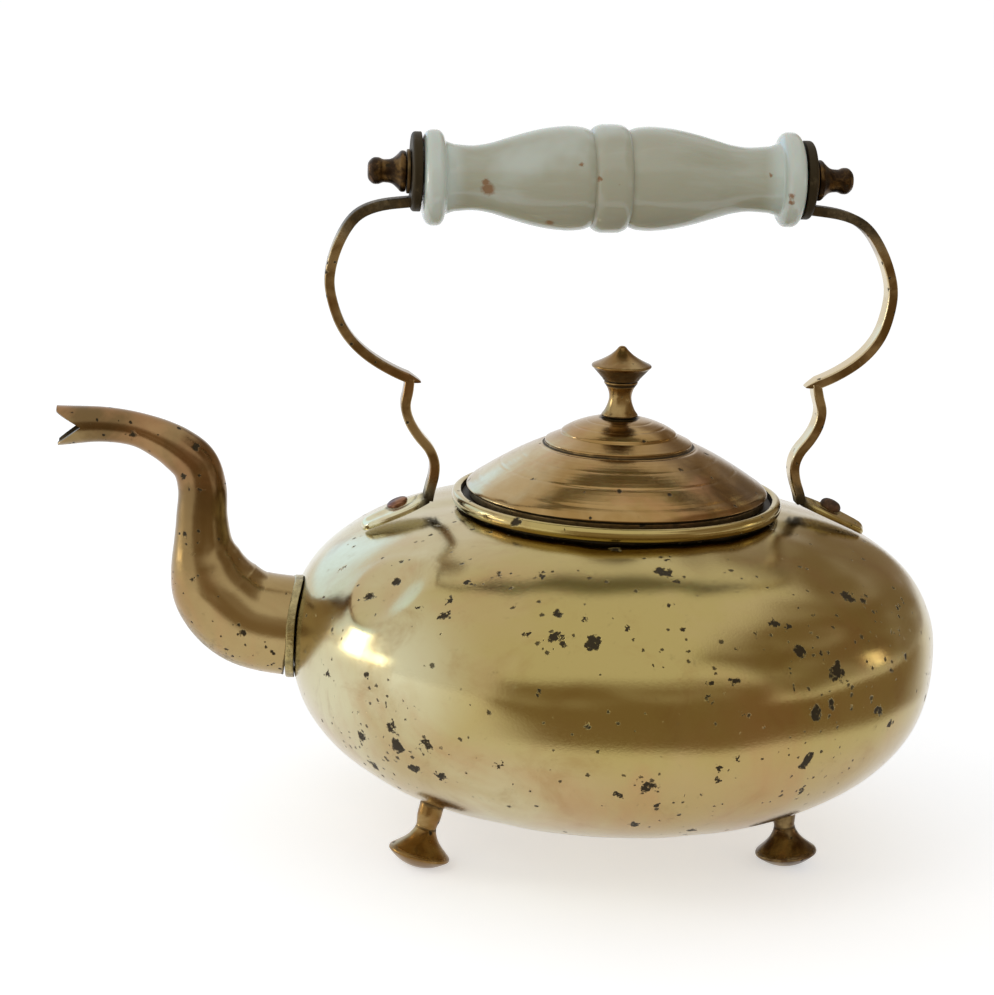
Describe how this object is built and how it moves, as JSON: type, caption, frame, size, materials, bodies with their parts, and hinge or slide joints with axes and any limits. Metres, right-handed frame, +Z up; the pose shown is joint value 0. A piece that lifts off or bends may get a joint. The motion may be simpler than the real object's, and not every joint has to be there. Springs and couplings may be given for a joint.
{
  "type": "tripod kettle",
  "caption": "Squat round brass kettle on tripod feet, with a swan-neck spout, a lift-off stepped lid and a hoop handle with a turned pale glass grip.",
  "frame": {"origin": "middle of the whole kettle's box in plan, on the surface that the feet stand on", "axes": "+Z up, -X towards the spout's mouth, +X towards the tail, +Y across the kettle, so that the front is -Y"},
  "size_m": [0.2558, 0.1892, 0.2097],
  "materials": {
    "body_brass": "polished, aged",
    "lid_brass": "polished, aged",
    "cast_brass": "polished, aged",
    "strap_brass": "worn",
    "dark_brass": "tarnished",
    "rivet_copper": "tarnished",
    "opal_glass": "polished opaline"
  },
  "bodies": {
    "kettle": {"body_shell": "body_brass", "base_plate": "body_brass", "collar_ring": "body_brass", "spout_tube": "body_brass", "spout_flange": "body_brass", "handle_strap_spout_side": "strap_brass", "pad_rivet_spout_side": "rivet_copper", "rivet_burr_spout_side": "rivet_copper", "nut_washer_spout_side": "cast_brass", "finial_nut_spout_side": "dark_brass", "handle_strap_tail_side": "strap_brass", "pad_rivet_tail_side": "rivet_copper", "rivet_burr_tail_side": "rivet_copper", "nut_washer_tail_side": "cast_brass", "finial_nut_tail_side": "dark_brass", "handle_rod": "dark_brass", "foot_front_left": "cast_brass", "foot_front_left_pad": "cast_brass", "foot_front_right": "cast_brass", "foot_front_right_pad": "cast_brass", "foot_back": "cast_brass", "foot_back_pad": "cast_brass"},
    "lid": {"lid_dome": "lid_brass", "lid_bezel": "lid_brass", "knob_stem": "cast_brass", "knob_cap": "cast_brass", "knob_stud": "cast_brass", "knob_nut": "cast_brass"},
    "grip": {"glass_grip": "opal_glass"}
  },
  "joints": [
    {"name": "lid_lift", "type": "slide", "parent": "kettle", "child": "lid", "axis": [0, 0, 1], "range_m": [0, 0.03]},
    {"name": "grip_turn", "type": "hinge", "parent": "kettle", "child": "grip", "pos_m": [0.0283, 0, 0.1944], "axis": [0.9999, 0, 0.0157], "continuous": true}
  ]
}
